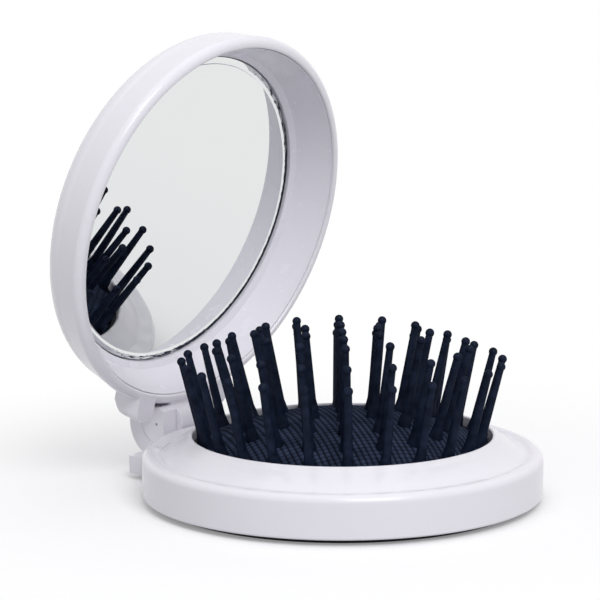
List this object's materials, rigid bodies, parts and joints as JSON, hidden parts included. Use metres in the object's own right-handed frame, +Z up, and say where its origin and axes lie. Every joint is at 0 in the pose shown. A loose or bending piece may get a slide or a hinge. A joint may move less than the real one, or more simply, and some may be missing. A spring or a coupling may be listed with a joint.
{
  "type": "folding hairbrush with mirror",
  "caption": "Round folding pocket hairbrush: a low base with a cushion of ball-tipped pins that sinks into it, and a hinged lid with a round mirror.",
  "frame": {"origin": "middle of the round base on the surface that it rests on", "axes": "+Z up, +Y towards the hinge, X along the hinge axis"},
  "size_m": [0.068, 0.0788, 0.0779],
  "materials": {
    "white_shell": "glossy moulded plastic, white with a faint lavender cast",
    "white_liner": "glossy moulded plastic, white with a faint lavender cast",
    "navy_plastic": "satin moulded plastic, navy black",
    "navy_rubber": "soft rubber with a fine woven texture, navy black",
    "navy_nylon": "satin nylon, navy black",
    "steel_pin": "drawn wire",
    "mirror": "back-silvered flat glass with a ground edge",
    "foam_tape": "thin double-sided tape"
  },
  "bodies": {
    "base": {"base_shell": "white_shell", "base_cover": "navy_plastic", "hinge_pin": "steel_pin"},
    "lid": {"lid_shell": "white_shell", "lid_liner": "white_liner", "mirror_glass": "mirror", "mirror_tape": "foam_tape"},
    "cup": {"push_cup": "navy_plastic", "pad_ring": "navy_plastic", "cushion_pad": "navy_rubber"},
    "pins_outer": {"bristle_ring_3": "navy_nylon"},
    "pins_middle": {"bristle_ring_2": "navy_nylon"},
    "pins_inner": {"bristle_centre": "navy_nylon", "bristle_ring_1": "navy_nylon"},
    "rim_pins_1": {"bristle_rim_1": "navy_nylon"},
    "rim_pins_2": {"bristle_rim_2": "navy_nylon"},
    "rim_pins_3": {"bristle_rim_3": "navy_nylon"},
    "rim_pins_4": {"bristle_rim_4": "navy_nylon"},
    "rim_pins_5": {"bristle_rim_5": "navy_nylon"},
    "rim_pins_6": {"bristle_rim_6": "navy_nylon"},
    "rim_pins_7": {"bristle_rim_7": "navy_nylon"},
    "rim_pins_8": {"bristle_rim_8": "navy_nylon"}
  },
  "joints": [
    {"name": "lid_hinge", "type": "hinge", "parent": "base", "child": "lid", "pos_m": [0, 0.0367, 0.0089], "axis": [1, 0, 0], "range_deg": [0, 75.8]},
    {"name": "cup_slide", "type": "slide", "parent": "base", "child": "cup", "axis": [0, 0, -1], "range_m": [0, 0.0078]},
    {"name": "outer_sink", "type": "slide", "parent": "cup", "child": "pins_outer", "axis": [0, 0, -1], "range_m": [0, 0.0026], "deforming": ["cushion_pad"]},
    {"name": "middle_sink", "type": "slide", "parent": "cup", "child": "pins_middle", "axis": [0, 0, -1], "range_m": [0, 0.0044]},
    {"name": "inner_sink", "type": "slide", "parent": "cup", "child": "pins_inner", "axis": [0, 0, -1], "range_m": [0, 0.00465]},
    {"name": "rim_tilt_1", "type": "hinge", "parent": "cup", "child": "rim_pins_1", "pos_m": [-0.0104, 0.02229, 0.0093], "axis": [0.9063, 0.4226, 0], "range_deg": [0, 10.5]},
    {"name": "rim_tilt_2", "type": "hinge", "parent": "cup", "child": "rim_pins_2", "pos_m": [-0.02312, 0.00841, 0.0093], "axis": [0.342, 0.9397, 0], "range_deg": [0, 10.5]},
    {"name": "rim_tilt_3", "type": "hinge", "parent": "cup", "child": "rim_pins_3", "pos_m": [-0.02229, -0.0104, 0.0093], "axis": [-0.4226, 0.9063, 0], "range_deg": [0, 10.5]},
    {"name": "rim_tilt_4", "type": "hinge", "parent": "cup", "child": "rim_pins_4", "pos_m": [-0.00841, -0.02312, 0.0093], "axis": [-0.9397, 0.342, 0], "range_deg": [0, 10.5]},
    {"name": "rim_tilt_5", "type": "hinge", "parent": "cup", "child": "rim_pins_5", "pos_m": [0.0104, -0.02229, 0.0093], "axis": [-0.9063, -0.4226, 0], "range_deg": [0, 10.5]},
    {"name": "rim_tilt_6", "type": "hinge", "parent": "cup", "child": "rim_pins_6", "pos_m": [0.02312, -0.00841, 0.0093], "axis": [-0.342, -0.9397, 0], "range_deg": [0, 10.5]},
    {"name": "rim_tilt_7", "type": "hinge", "parent": "cup", "child": "rim_pins_7", "pos_m": [0.02229, 0.0104, 0.0093], "axis": [0.4226, -0.9063, 0], "range_deg": [0, 10.5]},
    {"name": "rim_tilt_8", "type": "hinge", "parent": "cup", "child": "rim_pins_8", "pos_m": [0.00841, 0.02312, 0.0093], "axis": [0.9397, -0.342, 0], "range_deg": [0, 10.5]}
  ],
  "couplings": [
    {"joint": "cup_slide", "follows": "lid_hinge", "m_per_rad": 0.005895},
    {"joint": "outer_sink", "follows": "lid_hinge", "m_per_rad": 0.001965},
    {"joint": "middle_sink", "follows": "lid_hinge", "m_per_rad": 0.003325},
    {"joint": "inner_sink", "follows": "lid_hinge", "m_per_rad": 0.003514},
    {"joint": "rim_tilt_1", "follows": "lid_hinge", "ratio": 0.1385},
    {"joint": "rim_tilt_2", "follows": "lid_hinge", "ratio": 0.1385},
    {"joint": "rim_tilt_3", "follows": "lid_hinge", "ratio": 0.1385},
    {"joint": "rim_tilt_4", "follows": "lid_hinge", "ratio": 0.1385},
    {"joint": "rim_tilt_5", "follows": "lid_hinge", "ratio": 0.1385},
    {"joint": "rim_tilt_6", "follows": "lid_hinge", "ratio": 0.1385},
    {"joint": "rim_tilt_7", "follows": "lid_hinge", "ratio": 0.1385},
    {"joint": "rim_tilt_8", "follows": "lid_hinge", "ratio": 0.1385}
  ]
}
